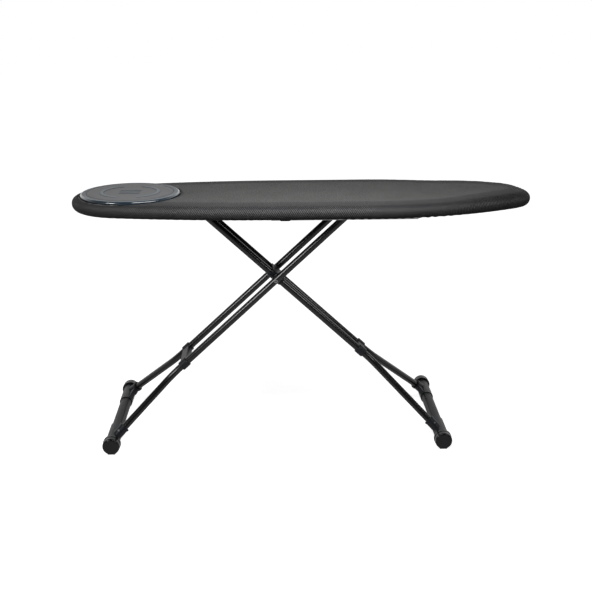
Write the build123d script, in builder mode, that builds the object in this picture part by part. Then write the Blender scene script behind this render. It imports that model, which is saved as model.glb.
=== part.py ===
from build123d import *
from math import atan2, cos, degrees, radians, sin, sqrt, tan
import os

# A folding ironing board: padded board, scissor legs with splayed feet, stepless height lock.
# Millimetres. +X points at the nose, +Y at the back, +Z up; the origin is on the floor, under the
# middle of the board.

# ---- board outline -------------------------------------------------------------------------
board_length = 1240.0
board_width = 380.0
nose_radius = 90.0
tail_radius = 150.0
nose_shoulder_x = 170.0
tail_shoulder_x = -60.0

# ---- board layers --------------------------------------------------------------------------
board_thickness = 36.0
edge_radius = 17.0
cover_thickness = 2.0
underlay_thickness = 10.5
underlay_inset = 10.0
underlay_edge_radius = 7.5
sheet_thickness = 1.0
sheet_inset = 8.0
axle_to_sheet = 36.0
hem_width = 36.0
hem_bead_radius = 3.2
drawcord_radius = 1.6

# steam holes in the top sheet
hole_length = 34.0
hole_width = 18.0
hole_pitch_x = 48.0
hole_pitch_y = 28.0
hole_margin = 28.0

# iron rest pad
pad_end_gap = 23.0
pad_radius = 133.0
pad_thickness = 9.5
pad_seat_depth = 3.0
pad_seat_gap = 0.3
pad_top_edge_radius = 5.0
pad_bottom_edge_radius = 3.0
pad_groove_radius = 116.0
pad_groove_width = 2.4
pad_relief = 1.0
pad_ring_radius = 76.0
pad_ring_width = 12.0
pad_ring_gap = 52.0
pad_rib_length = 58.0
pad_rib_width = 6.0
pad_rib_pitch = 20.0

# rim tube and cross members
rim_radius = 9.0
rim_wall = 1.2
rim_inset = 12.6
member_width = 22.0
member_flange = 9.0
member_height = 15.0
member_sheet = 1.2
tail_member_gap = 160.0
nose_member_gap = 190.0
lever_member_gap = 30.0
rail_member_room = 5.7

# ---- legs ----------------------------------------------------------------------------------
leg_angle = 42.9
folded_angle = 1.9
upper_arm = 264.0
lower_arm = 615.5
pivot_x = -74.5
tube_radius = 9.75
tube_wall = 1.5
tube_overhang = 12.0
inner_spacing = 50.0
outer_spacing = 121.0
inner_foot_entry = 147.0
outer_foot_entry = 161.0
inner_bend = 364.0
outer_bend = 396.0
inner_bend_radius = 120.0
outer_bend_radius = 150.0
collar_length = 24.0
collar_wall = 3.6
collar_bridge_height = 17.0
collar_edge = 1.0

# axles and pivot
axle_radius = 5.0
washer_thickness = 2.6
washer_radius = 9.0
axle_head_radius = 7.5
axle_head_thickness = 1.6
axle_spacer_wall = 1.4
pivot_bolt_radius = 3.5
pivot_head_radius = 4.8
pivot_head_height = 1.8
pivot_bore_radius = 2.0
pivot_bore_depth = 12.0
pivot_block_length = 44.0
pivot_block_height = 24.0
pivot_block_wall = 2.0
pivot_spacer_radius = 11.0

# brackets of the inner leg
bracket_sheet = 2.5
bracket_width = 28.0
bracket_flange = 22.0
bracket_ear_radius = 12.0

# ---- feet ----------------------------------------------------------------------------------
foot_span = 421.0
foot_bar_radius = 16.0
foot_bar_wall = 2.0
foot_groove_angle = 8.0
foot_groove_width = 2.6
foot_groove_depth = 1.2
cap_radius = 24.0
cap_length = 26.0
cap_flange_length = 8.0
cap_waist_length = 2.2
cap_waist_depth = 2.0
cap_step = 0.8
cap_edge_radius = 5.0
cap_end_wall = 6.0
sleeve_wall = 2.6
sleeve_length = 98.0
socket_wall = 3.4
socket_reach = 46.0
socket_lip_length = 6.0
socket_lip_step = 1.2
gusset_thickness = 12.0
foot_screw_gap = 4.5
foot_screw_angle = 55.0

# small screws
screw_head_radius = 3.0
screw_head_height = 2.0
screw_shank_radius = 1.9
screw_length = 8.0

# ---- slide rails and slide -----------------------------------------------------------------
rail_to_rivet = 0.5
rail_depth = 12.0
rail_wall = 1.5
rail_channel = 14.0
rail_overhang = 15.0
glide_length = 28.0
glide_corner_radius = 3.0
clevis_width = 20.0
clevis_length = 28.0
clevis_axle_wall = 5.0
clevis_rod_wall = 3.0

# ---- height lock ---------------------------------------------------------------------------
lock_rod_radius = 4.0
lock_rod_rise = 15.0
lock_rod_length = 400.0
lock_rod_overhang = 10.0
lock_stop_radius = 5.5
lock_stop_length = 8.0
lock_plate_thickness = 3.0
lock_plate_width = 24.0
lock_plate_drop = 25.0
lock_bore_clearance = 0.5
lock_plate_room = 4.5
lock_plate_side_room = 1.0
lever_x = -100.0
lever_rise = 26.0
lever_rod_radius = 3.5
lever_elbow_gap = 25.0
lever_bend_radius = 10.0
lever_grip_reach = 51.0
lever_grip_hem_gap = 3.8
lever_grip_drop = 18.0
lever_grip_width = 28.0
lever_grip_length = 37.0
lever_grip_height = 8.0
lever_grip_corner_radius = 6.0
lever_grip_edge_radius = 2.5
lever_bracket_width = 40.0
lever_bracket_sheet = 1.5
lever_ear_width = 16.0
lever_ear_overlap = 5.0
guide_spread = 16.0
guide_height = 14.0
guide_width = 24.0
guide_sheet = 2.0
spring_wire_radius = 0.6
spring_radius = 5.4
spring_turns = 4
spring_gap = 2.6

# ---- clearances ----------------------------------------------------------------------------
running_fit = 0.06
part_gap = 0.3

# ---- derived places ------------------------------------------------------------------------
half_width = board_width / 2
leg_sin = sin(radians(leg_angle))
leg_cos = cos(radians(leg_angle))
foot_height = cap_radius
pivot_height = foot_height + lower_arm * leg_sin
axle_height = pivot_height + upper_arm * leg_sin
inner_axle_x = pivot_x - upper_arm * leg_cos
outer_axle_x = pivot_x + upper_arm * leg_cos
folded_axle_x = inner_axle_x + 2 * upper_arm * cos(radians(folded_angle))

sheet_bottom = axle_height + axle_to_sheet
sheet_top = sheet_bottom + sheet_thickness
cover_top = sheet_top + underlay_thickness + cover_thickness
cover_bottom = cover_top - board_thickness
hem_height = cover_bottom + cover_thickness / 2
member_bottom = sheet_bottom - member_height
rim_height = sheet_bottom - rim_radius
lock_rod_height = axle_height + lock_rod_rise
lever_height = axle_height + lever_rise
lever_grip_x = lever_x + lever_grip_reach
lever_grip_y = lever_grip_hem_gap - (half_width - hem_width - hem_bead_radius)
lever_elbow_y = lever_grip_y + lever_elbow_gap

pad_x = pad_radius + pad_end_gap - board_length / 2
pad_bottom = cover_top - pad_seat_depth
pad_top = pad_bottom + pad_thickness
tail_member_x = tail_member_gap - board_length / 2
nose_member_x = board_length / 2 - nose_member_gap
lever_member_x = lever_x + lever_member_gap
rail_gap = outer_spacing + 2 * (tube_radius + pivot_head_height + rail_to_rivet)
rail_member_x = folded_axle_x + glide_length / 2 + rail_member_room + member_width / 2
rail_start_x = lever_member_x - rail_overhang
rail_end_x = rail_member_x + rail_overhang

# Each leg lies in its own plane: x runs down the leg from the pivot, y across the board.
pivot = (pivot_x, 0, pivot_height)
inner_leg = Plane(origin=pivot, x_dir=(leg_cos, 0, -leg_sin), z_dir=(leg_sin, 0, leg_cos))
outer_leg = Plane(origin=pivot, x_dir=(-leg_cos, 0, -leg_sin), z_dir=(-leg_sin, 0, leg_cos))
sides = {"front": -1, "back": 1}

os.makedirs("parts", exist_ok=True)


def save(part, label):
    """Labels one finished piece and writes its STEP file."""
    part.label = label
    export_step(part, f"parts/{label}.step")


def side_view(x, y, z):
    """A plane that faces the front, with x along the board and y upwards."""
    return Plane(origin=(x, y, z), x_dir=(1, 0, 0), z_dir=(0, -1, 0))


def leg_side(leg, distance, y=0):
    """A plane across a leg's axles: x runs down the leg, z across the board."""
    return Plane(origin=leg.from_local_coords((distance, y, 0)), x_dir=leg.x_dir, z_dir=leg.y_dir)


def leg_section(leg, distance):
    """A plane square to the leg: x runs across the board, z down the leg."""
    return Plane(origin=leg.from_local_coords((distance, 0, 0)), x_dir=leg.y_dir, z_dir=leg.x_dir)


def shaft(plane, radius, half_length):
    """A round bar through a plane's origin, along its normal."""
    with BuildPart() as bar:
        with BuildSketch(plane):
            Circle(radius)
        extrude(amount=half_length, both=True)
    return bar.part


# ---- board outline -------------------------------------------------------------------------
def flank(reach, end_radius):
    """Radius of the arc that joins a parallel side to an end arc, and the angle of their tangent point."""
    radius = (reach**2 + half_width**2 - end_radius**2) / (2 * (half_width - end_radius))
    return radius, degrees(atan2(radius - half_width, reach))


nose_center_x = board_length / 2 - nose_radius
tail_center_x = tail_radius - board_length / 2
nose_flank_radius, nose_angle = flank(nose_center_x - nose_shoulder_x, nose_radius)
tail_flank_radius, tail_angle = flank(tail_shoulder_x - tail_center_x, tail_radius)


def board_outline(inset):
    """The board's plan outline, moved inwards by inset: two straight sides and six tangent arcs."""
    for side in (1, -1):
        Line((tail_shoulder_x, side * (half_width - inset)), (nose_shoulder_x, side * (half_width - inset)))
        CenterArc(
            (nose_shoulder_x, side * (half_width - nose_flank_radius)),
            nose_flank_radius - inset,
            side * nose_angle,
            side * (90 - nose_angle),
        )
        CenterArc(
            (tail_shoulder_x, side * (half_width - tail_flank_radius)),
            tail_flank_radius - inset,
            side * 90,
            side * (90 - tail_angle),
        )
    CenterArc((nose_center_x, 0), nose_radius - inset, -nose_angle, 2 * nose_angle)
    CenterArc((tail_center_x, 0), tail_radius - inset, 180 - tail_angle, 2 * tail_angle)


def half_width_at(x, inset):
    """Half the board's width at x, inside the outline moved inwards by inset."""
    if x > nose_center_x + nose_radius * cos(radians(nose_angle)):
        center, base, radius = nose_center_x, 0, nose_radius
    elif x > nose_shoulder_x:
        center, base, radius = nose_shoulder_x, half_width - nose_flank_radius, nose_flank_radius
    elif x > tail_shoulder_x:
        return half_width - inset
    elif x > tail_center_x - tail_radius * cos(radians(tail_angle)):
        center, base, radius = tail_shoulder_x, half_width - tail_flank_radius, tail_flank_radius
    else:
        center, base, radius = tail_center_x, 0, tail_radius
    rise = (radius - inset) ** 2 - (x - center) ** 2
    return base + sqrt(rise) if rise > 0 else 0


def board_slab(inset, bottom, thickness, bottom_edge=0, top_edge=0):
    """A slab of the board's outline, with rounded bottom and top edges."""
    with BuildPart() as slab:
        with BuildSketch(Plane.XY.offset(bottom)):
            with BuildLine():
                board_outline(inset)
            make_face()
        extrude(amount=thickness)
        if bottom_edge:
            fillet(slab.faces().sort_by(Axis.Z)[0].edges(), bottom_edge)
        if top_edge:
            fillet(slab.faces().sort_by(Axis.Z)[-1].edges(), top_edge)
    return slab.part


def board_ring(inset, height, radius):
    """A round bar bent along the board's outline."""
    with BuildPart() as ring:
        with BuildLine(Plane.XY.offset(height)) as path:
            board_outline(inset)
        with BuildSketch(Plane(origin=(nose_shoulder_x, half_width - inset, height), z_dir=(1, 0, 0))):
            Circle(radius)
        sweep(path=path.wires()[0])
    return ring.part


def round_well(radius, bottom):
    """A round well from bottom up to the top of the cover, where the iron rest lies."""
    with BuildPart() as well:
        with BuildSketch(Plane((pad_x, 0, bottom))):
            Circle(radius)
        extrude(amount=cover_top - bottom)
    return well.part


# ---- cover, drawcord and underlay ----------------------------------------------------------
cover_outside = board_slab(0, cover_bottom, board_thickness, edge_radius, edge_radius)
cover_inside = board_slab(
    cover_thickness,
    cover_bottom + cover_thickness,
    board_thickness - 2 * cover_thickness,
    edge_radius - cover_thickness,
    edge_radius - cover_thickness,
)
cover_opening = board_slab(hem_width, cover_bottom - cover_thickness, 3 * cover_thickness)
hem_bead = board_ring(hem_width, hem_height, hem_bead_radius)
drawcord = board_ring(hem_width, hem_height, drawcord_radius)
pad_seat = round_well(pad_radius + pad_seat_gap, pad_bottom)
padding_seat = round_well(pad_radius + pad_seat_gap + cover_thickness, pad_bottom - cover_thickness)

# the iron rest lies in a shallow seat, where cover and padding are pressed down
with BuildPart() as cover_room:
    add(cover_inside)
    add(padding_seat, mode=Mode.SUBTRACT)

with BuildPart() as cover:
    add(cover_outside)
    add(cover_room.part, mode=Mode.SUBTRACT)
    add(pad_seat, mode=Mode.SUBTRACT)
    add(cover_opening, mode=Mode.SUBTRACT)
    add(hem_bead)
    add(drawcord, mode=Mode.SUBTRACT)
save(cover.part, "cover")

save(drawcord, "hem_drawcord")

with BuildPart() as underlay:
    add(board_slab(underlay_inset, sheet_top, underlay_thickness, 0, underlay_edge_radius))
    add(padding_seat, mode=Mode.SUBTRACT)
save(underlay.part, "underlay_felt")

# ---- top sheet -----------------------------------------------------------------------------
hole_places = []
hole_rows = int(half_width / hole_pitch_y)
hole_columns = int(board_length / 2 / hole_pitch_x)
for row in range(-hole_rows, hole_rows + 1):
    for column in range(-hole_columns, hole_columns + 1):
        hole_x = (column + row % 2 / 2) * hole_pitch_x
        hole_ends = (hole_x - hole_length / 2, hole_x + hole_length / 2)
        room = min(half_width_at(end, hole_margin) for end in hole_ends)
        if abs(row * hole_pitch_y) + hole_width / 2 < room:
            hole_places.append((hole_x, row * hole_pitch_y))

with BuildPart() as top_sheet:
    add(board_slab(sheet_inset, sheet_bottom, sheet_thickness))
    with BuildSketch(Plane.XY.offset(sheet_bottom)):
        with Locations(*hole_places):
            Polygon((-hole_length / 2, 0), (0, -hole_width / 2), (hole_length / 2, 0), (0, hole_width / 2))
    extrude(amount=sheet_thickness, mode=Mode.SUBTRACT)
save(top_sheet.part, "top_sheet")

# ---- rim tube ------------------------------------------------------------------------------
with BuildPart() as rim_tube:
    add(board_ring(rim_inset, rim_height, rim_radius))
    add(board_ring(rim_inset, rim_height, rim_radius - rim_wall), mode=Mode.SUBTRACT)
save(rim_tube.part, "rim_tube")

# ---- places of the small screws under the cross members ------------------------------------
rail_y = rail_gap / 2 + rail_depth / 2
ear_y = inner_spacing / 2 + tube_radius + washer_thickness + part_gap
bracket_screw_y = ear_y + bracket_sheet + bracket_flange / 2
lever_screw_y = lever_bracket_width / 2 - screw_head_radius - 2 * lever_bracket_sheet
rail_screws = [(x, side * rail_y) for x in (lever_member_x, rail_member_x) for side in (-1, 1)]
bracket_screws = [(inner_axle_x, side * bracket_screw_y) for side in (-1, 1)]
lever_screws = [(lever_member_x, side * lever_screw_y) for side in (-1, 1)]
member_screws = rail_screws + bracket_screws + lever_screws
screw_faces = (
    [member_bottom - rail_wall] * len(rail_screws)
    + [member_bottom - bracket_sheet] * len(bracket_screws)
    + [member_bottom - lever_bracket_sheet] * len(lever_screws)
)

with BuildPart() as member_screw_set:
    for (screw_x, screw_y), face_z in zip(member_screws, screw_faces):
        with BuildSketch(Plane((screw_x, screw_y, face_z))):
            Circle(screw_head_radius)
        extrude(amount=-screw_head_height)
        with BuildSketch(Plane((screw_x, screw_y, face_z))):
            Circle(screw_shank_radius)
        extrude(amount=screw_length - screw_head_height)
save(member_screw_set.part, "member_screws")


# ---- cross members -------------------------------------------------------------------------
def cross_member(x):
    """A folded hat section from rim to rim, with its flanges against the top sheet."""
    rim_inside = rim_inset + rim_radius
    edge = member_width / 2 + member_flange
    reach = min(half_width_at(x - edge, rim_inside), half_width_at(x + edge, rim_inside)) - part_gap
    with BuildPart() as member:
        with BuildSketch(side_view(x, 0, member_bottom)):
            Rectangle(member_width, member_height, align=(Align.CENTER, Align.MIN))
            with Locations((0, member_height)):
                Rectangle(2 * edge, member_sheet, align=(Align.CENTER, Align.MAX))
            with Locations((0, member_sheet)):
                Rectangle(
                    member_width - 2 * member_sheet,
                    member_height,
                    align=(Align.CENTER, Align.MIN),
                    mode=Mode.SUBTRACT,
                )
        extrude(amount=reach, both=True)
        holes = [place for place in member_screws if abs(place[0] - x) < member_width / 2]
        if holes:
            with BuildSketch(Plane.XY.offset(member_bottom)):
                with Locations(*holes):
                    Circle(screw_shank_radius)
            extrude(amount=member_sheet, mode=Mode.SUBTRACT)
    return member.part


member_names = {
    "tail_member": tail_member_x,
    "bracket_member": inner_axle_x,
    "lever_member": lever_member_x,
    "rail_member": rail_member_x,
    "nose_member": nose_member_x,
}
for member_name, member_x in member_names.items():
    save(cross_member(member_x), member_name)

# ---- iron rest pad -------------------------------------------------------------------------
with BuildPart() as iron_rest:
    with BuildSketch(Plane((pad_x, 0, pad_bottom))):
        Circle(pad_radius)
    extrude(amount=pad_thickness)
    fillet(iron_rest.edges().sort_by(Axis.Z)[-1], pad_top_edge_radius)
    fillet(iron_rest.edges().sort_by(Axis.Z)[0], pad_bottom_edge_radius)
    # a groove inside the rim, a ring in two halves and three ribs that keep the hot sole off the pad
    with BuildSketch(Plane((pad_x, 0, pad_top))):
        Circle(pad_groove_radius + pad_groove_width / 2)
        Circle(pad_groove_radius - pad_groove_width / 2, mode=Mode.SUBTRACT)
    extrude(amount=-pad_relief, mode=Mode.SUBTRACT)
    with BuildSketch(Plane((pad_x, 0, pad_top))):
        Circle(pad_ring_radius + pad_ring_width / 2)
        Circle(pad_ring_radius - pad_ring_width / 2, mode=Mode.SUBTRACT)
        Rectangle(pad_ring_gap, 2 * (pad_ring_radius + pad_ring_width), mode=Mode.SUBTRACT)
        with GridLocations(0, pad_rib_pitch, 1, 3):
            SlotOverall(pad_rib_length, pad_rib_width)
    extrude(amount=pad_relief)
save(iron_rest.part, "iron_rest_pad")


# ---- slide rails ---------------------------------------------------------------------------
def slide_rail(side):
    """An extruded rail: a lower channel for the glide and an upper one for the screws."""
    rail_bottom = axle_height - rail_channel / 2 - rail_wall
    rail_height = member_bottom - rail_bottom
    inside = rail_depth - rail_wall
    upper_channel = rail_height - rail_channel - 3 * rail_wall
    corner = (rail_start_x, side * rail_gap / 2, rail_bottom)
    with BuildPart() as rail:
        with BuildSketch(Plane(origin=corner, x_dir=(0, side, 0), z_dir=(side, 0, 0))):
            Rectangle(rail_depth, rail_height, align=Align.MIN)
            with Locations((0, rail_wall)):
                Rectangle(inside, rail_channel, align=Align.MIN, mode=Mode.SUBTRACT)
            with Locations((0, rail_channel + 2 * rail_wall)):
                Rectangle(inside, upper_channel, align=Align.MIN, mode=Mode.SUBTRACT)
        extrude(amount=side * (rail_end_x - rail_start_x))
        with BuildSketch(Plane.XY.offset(member_bottom)):
            with Locations(*[place for place in rail_screws if place[1] * side > 0]):
                Circle(screw_shank_radius)
        extrude(amount=-rail_wall, mode=Mode.SUBTRACT)
    return rail.part


for name, side in sides.items():
    save(slide_rail(side), f"rail_{name}")


# ---- brackets of the inner leg -------------------------------------------------------------
def pivot_bracket(side):
    """An angle bracket: a round-ended ear for the axle and a flange under the cross member."""
    ear_drop = member_bottom - axle_height
    with BuildPart() as bracket:
        with BuildSketch(side_view(inner_axle_x, side * (ear_y + bracket_sheet / 2), axle_height)):
            Circle(bracket_ear_radius)
            with Locations((0, ear_drop)):
                Rectangle(bracket_width, bracket_sheet, align=(Align.CENTER, Align.MAX))
            make_hull()
            Circle(axle_radius + running_fit, mode=Mode.SUBTRACT)
        extrude(amount=bracket_sheet / 2, both=True)
        with BuildSketch(Plane((inner_axle_x, side * bracket_screw_y, member_bottom))):
            Rectangle(bracket_width, bracket_flange)
            Circle(screw_shank_radius, mode=Mode.SUBTRACT)
        extrude(amount=-bracket_sheet)
    return bracket.part


for name, side in sides.items():
    save(pivot_bracket(side), f"pivot_bracket_{name}")

# ---- lever bracket and lock spring ---------------------------------------------------------
with BuildPart() as lever_bracket:
    plate_start = lever_x - guide_spread - guide_sheet / 2
    plate_end = lever_member_x + member_width / 2
    window_start = lever_x - lock_plate_thickness / 2 - lock_plate_room
    window_end = lever_x + guide_spread - guide_sheet / 2
    with BuildSketch(Plane((0, 0, member_bottom))):
        with Locations(((plate_start + plate_end) / 2, 0)):
            Rectangle(plate_end - plate_start, lever_bracket_width)
        # a window for the lock plate and the spring beside it
        with Locations((window_start, 0)):
            Rectangle(
                window_end - window_start,
                lock_plate_width + 2 * lock_plate_side_room,
                align=(Align.MIN, Align.CENTER),
                mode=Mode.SUBTRACT,
            )
        with Locations(*lever_screws):
            Circle(screw_shank_radius, mode=Mode.SUBTRACT)
    extrude(amount=-lever_bracket_sheet)
    # two guides that the lock rod slides through
    for guide_x in (lever_x - guide_spread, lever_x + guide_spread):
        with BuildSketch(Plane(origin=(guide_x, 0, lock_rod_height), x_dir=(0, 1, 0), z_dir=(1, 0, 0))):
            with Locations((0, member_bottom - lock_rod_height)):
                Rectangle(guide_width, guide_height, align=(Align.CENTER, Align.MAX))
            Circle(lock_rod_radius + running_fit, mode=Mode.SUBTRACT)
        extrude(amount=guide_sheet / 2, both=True)
    # two ears that carry the lever
    for side in (-1, 1):
        ear_center = side * (lever_bracket_width - lever_bracket_sheet) / 2
        with BuildSketch(side_view(lever_x, ear_center, lever_height)):
            Circle(lever_ear_width / 2)
            with Locations((0, member_bottom - lever_height)):
                Rectangle(lever_ear_width, lever_bracket_sheet, align=(Align.CENTER, Align.MAX))
            make_hull()
            Circle(lever_rod_radius + running_fit, mode=Mode.SUBTRACT)
        extrude(amount=lever_bracket_sheet / 2, both=True)
save(lever_bracket.part, "lever_bracket")

with BuildPart() as lock_spring:
    spring_end = lever_x + guide_spread - guide_sheet / 2 - spring_wire_radius
    spring_start = lever_x + lock_plate_thickness / 2 + spring_gap + spring_wire_radius
    spring_length = spring_end - spring_start
    with BuildLine() as spring_path:
        Helix(
            spring_length / spring_turns,
            spring_length,
            spring_radius,
            center=(spring_start, 0, lock_rod_height),
            direction=(1, 0, 0),
        )
    with BuildSketch(Plane(origin=spring_path.line @ 0, z_dir=spring_path.line % 0)):
        Circle(spring_wire_radius)
    sweep()
save(lock_spring.part, "lock_spring")


# ---- leg tubes -----------------------------------------------------------------------------
def splay(spacing, foot_entry, bend):
    """Angle by which a leg's lower run turns outwards."""
    return atan2(foot_entry - spacing / 2, lower_arm - bend)


def tube_stop(angle):
    """How far from the foot bar's axis a tube that leans by angle ends, clear of the bar."""
    return (foot_bar_radius + tube_radius * sin(angle) + part_gap) / cos(angle)


def leg_tube(leg, side, spacing, foot_entry, bend, bend_radius, pivot_clearance, screws):
    """A tube from the top axle to the foot, bent outwards below the collar, with its cross holes."""
    angle = splay(spacing, foot_entry, bend)
    stop = tube_stop(angle)
    with BuildPart() as tube:
        with BuildLine(leg) as path:
            FilletPolyline(
                (-upper_arm - tube_overhang, side * spacing / 2),
                (bend, side * spacing / 2),
                (lower_arm - stop * cos(angle), side * (foot_entry - stop * sin(angle))),
                radius=bend_radius,
            )
        with BuildSketch(Plane(origin=path.line @ 0, z_dir=path.line % 0)):
            Circle(tube_radius)
            Circle(tube_radius - tube_wall, mode=Mode.SUBTRACT)
        sweep()
        add(shaft(leg_side(leg, -upper_arm), axle_radius, spacing), mode=Mode.SUBTRACT)
        add(shaft(leg_side(leg, 0), pivot_bolt_radius + pivot_clearance, spacing), mode=Mode.SUBTRACT)
        add(screws, mode=Mode.SUBTRACT)
    return tube.part


def collar(leg, spacing, foot_entry, bend, bend_radius):
    """A clamp round both tubes, where the bend begins, with a bridge between them."""
    start = bend - bend_radius * tan(splay(spacing, foot_entry, bend) / 2) - collar_length
    with BuildPart() as clamp:
        with BuildSketch(leg_section(leg, start)):
            with GridLocations(spacing, 0, 2, 1):
                Circle(tube_radius + collar_wall)
            Rectangle(spacing, collar_bridge_height)
            with GridLocations(spacing, 0, 2, 1):
                Circle(tube_radius, mode=Mode.SUBTRACT)
        extrude(amount=collar_length)
        ends = clamp.faces().sort_by(Axis(leg.origin, leg.x_dir))
        chamfer(ends[0].outer_wire().edges() + ends[-1].outer_wire().edges(), collar_edge)
    return clamp.part


# ---- feet ----------------------------------------------------------------------------------
def foot_bar(leg):
    """A round tube across the board, with a groove along its upper inner side."""
    axis = leg_side(leg, lower_arm)
    with BuildPart() as bar:
        with BuildSketch(axis):
            Circle(foot_bar_radius)
            Circle(foot_bar_radius - foot_bar_wall, mode=Mode.SUBTRACT)
            with PolarLocations(foot_bar_radius, 1, start_angle=180 + foot_groove_angle):
                Rectangle(2 * foot_groove_depth, foot_groove_width, mode=Mode.SUBTRACT)
        extrude(amount=foot_span / 2 - cap_end_wall, both=True)
    return bar.part


def socket_axis(leg, side, angle):
    """The direction up a connector's socket, and the direction square to it that points outwards."""
    upwards = leg.x_dir * -cos(angle) + leg.y_dir * (-side * sin(angle))
    outwards = leg.x_dir * -sin(angle) + leg.y_dir * (side * cos(angle))
    return upwards, outwards


def foot_screw_plane(leg, side, spacing, foot_entry, bend):
    """The seat of a connector screw, on the socket's outer upper side, above the tube's end."""
    angle = splay(spacing, foot_entry, bend)
    upwards, outwards = socket_axis(leg, side, angle)
    turn = radians(foot_screw_angle)
    facing = leg.z_dir * cos(turn) + outwards * sin(turn)
    axis_point = leg.from_local_coords((lower_arm, side * foot_entry, 0))
    axis_point += upwards * (tube_stop(angle) + foot_screw_gap)
    return Plane(origin=axis_point + facing * (tube_radius + socket_wall), z_dir=facing)


def foot_screw_pair(leg, spacing, foot_entry, bend):
    """Two pan head screws, one through each connector's socket into its tube."""
    with BuildPart() as pair:
        for side in (-1, 1):
            seat = foot_screw_plane(leg, side, spacing, foot_entry, bend)
            with BuildSketch(seat):
                Circle(screw_head_radius)
            extrude(amount=screw_head_height)
            with BuildSketch(seat):
                Circle(screw_shank_radius)
            extrude(amount=-(screw_length - screw_head_height))
    return pair.part


def connector(leg, side, spacing, foot_entry, bend, screws):
    """A moulded foot connector: sleeve on the bar, slanted socket for the tube, gusset between them."""
    angle = splay(spacing, foot_entry, bend)
    entry = leg.from_local_coords((lower_arm, side * foot_entry, 0))
    upwards = socket_axis(leg, side, angle)[0]
    socket = Plane(origin=entry, x_dir=leg.z_dir, z_dir=upwards)
    sleeve_end = foot_span / 2 - cap_length
    gusset_start = sleeve_end - sleeve_length + sleeve_wall
    lip_edge = tube_radius + socket_wall
    lip_point = (
        lower_arm - socket_reach * cos(angle) + lip_edge * sin(angle),
        side * (foot_entry - socket_reach * sin(angle) - lip_edge * cos(angle)),
    )
    with BuildPart() as joint:
        with BuildSketch(leg_side(leg, lower_arm, side * sleeve_end)):
            Circle(foot_bar_radius + sleeve_wall)
        extrude(amount=-side * sleeve_length)
        with BuildSketch(socket):
            Circle(tube_radius + socket_wall)
        extrude(amount=socket_reach)
        with BuildSketch(socket.offset(socket_reach - socket_lip_length)):
            Circle(tube_radius + socket_wall + socket_lip_step)
        extrude(amount=socket_lip_length)
        with BuildSketch(leg):
            Polygon(
                (lower_arm, side * foot_entry),
                (lower_arm, side * gusset_start),
                (lower_arm - foot_bar_radius - sleeve_wall, side * gusset_start),
                lip_point,
                align=None,
            )
        extrude(amount=gusset_thickness / 2, both=True)
        with BuildSketch(leg_side(leg, lower_arm)):
            Circle(foot_bar_radius)
        extrude(amount=foot_span / 2, both=True, mode=Mode.SUBTRACT)
        with BuildSketch(socket.offset(tube_stop(angle))):
            Circle(tube_radius)
        extrude(amount=socket_reach, mode=Mode.SUBTRACT)
        add(screws, mode=Mode.SUBTRACT)
    return joint.part


def end_cap(leg, side):
    """A foot cap: flange, waist and rounded front, each standing on a small flat foot."""
    center = leg.from_local_coords((lower_arm, 0, 0))
    start = foot_span / 2 - cap_length
    front = cap_length - cap_flange_length - cap_waist_length
    front_radius = cap_radius - cap_step

    def cap_plane(y):
        return Plane(origin=(center.X, side * y, center.Z), x_dir=(-side, 0, 0), z_dir=(0, side, 0))

    def foot(radius):
        shoulder = radius * cos(radians(45))
        flat = 2 * shoulder - cap_radius
        heel = [(-shoulder, -shoulder), (-flat, -cap_radius), (flat, -cap_radius), (shoulder, -shoulder)]
        Polygon(heel, align=None)

    with BuildPart() as cap:
        with BuildSketch(cap_plane(start + cap_flange_length + cap_waist_length)):
            Circle(front_radius)
        extrude(amount=front)
        fillet(cap.edges().sort_by(Axis((0, 0, 0), (0, side, 0)))[-1], cap_edge_radius)
        with BuildSketch(cap_plane(start + cap_flange_length + cap_waist_length)):
            foot(front_radius)
        extrude(amount=front - cap_edge_radius)
        with BuildSketch(cap_plane(start + cap_flange_length)):
            Circle(cap_radius - cap_waist_depth)
        extrude(amount=cap_waist_length)
        with BuildSketch(cap_plane(start)):
            Circle(cap_radius)
            foot(cap_radius)
        extrude(amount=cap_flange_length)
        with BuildSketch(cap_plane(start)):
            Circle(foot_bar_radius)
        extrude(amount=cap_length - cap_end_wall, mode=Mode.SUBTRACT)
    return cap.part


# ---- both legs -----------------------------------------------------------------------------
legs = {
    "inner": (inner_leg, inner_spacing, inner_foot_entry, inner_bend, inner_bend_radius, running_fit),
    "outer": (outer_leg, outer_spacing, outer_foot_entry, outer_bend, outer_bend_radius, 0),
}
for leg_name, (leg, spacing, foot_entry, bend, bend_radius, pivot_clearance) in legs.items():
    screws = foot_screw_pair(leg, spacing, foot_entry, bend)
    save(screws, f"{leg_name}_foot_screws")
    save(foot_bar(leg), f"{leg_name}_foot_bar")
    save(collar(leg, spacing, foot_entry, bend, bend_radius), f"{leg_name}_collar")
    for name, side in sides.items():
        leg_side_sign = side * round(leg.y_dir.Y)
        tube = leg_tube(leg, leg_side_sign, spacing, foot_entry, bend, bend_radius, pivot_clearance, screws)
        save(tube, f"{leg_name}_tube_{name}")
        save(connector(leg, leg_side_sign, spacing, foot_entry, bend, screws), f"{leg_name}_connector_{name}")
        save(end_cap(leg, side), f"{leg_name}_cap_{name}")

# ---- pivot ---------------------------------------------------------------------------------
block_half = inner_spacing / 2 + tube_radius + pivot_block_wall

with BuildPart() as pivot_block:
    with BuildSketch(leg_section(inner_leg, -pivot_block_length / 2)):
        SlotOverall(2 * block_half, pivot_block_height)
    extrude(amount=pivot_block_length)
    with BuildSketch(leg_section(inner_leg, -pivot_block_length / 2)):
        with GridLocations(inner_spacing, 0, 2, 1):
            Circle(tube_radius)
    extrude(amount=pivot_block_length, mode=Mode.SUBTRACT)
    add(shaft(leg_side(inner_leg, 0), pivot_bolt_radius + running_fit, outer_spacing), mode=Mode.SUBTRACT)
save(pivot_block.part, "pivot_block")

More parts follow.
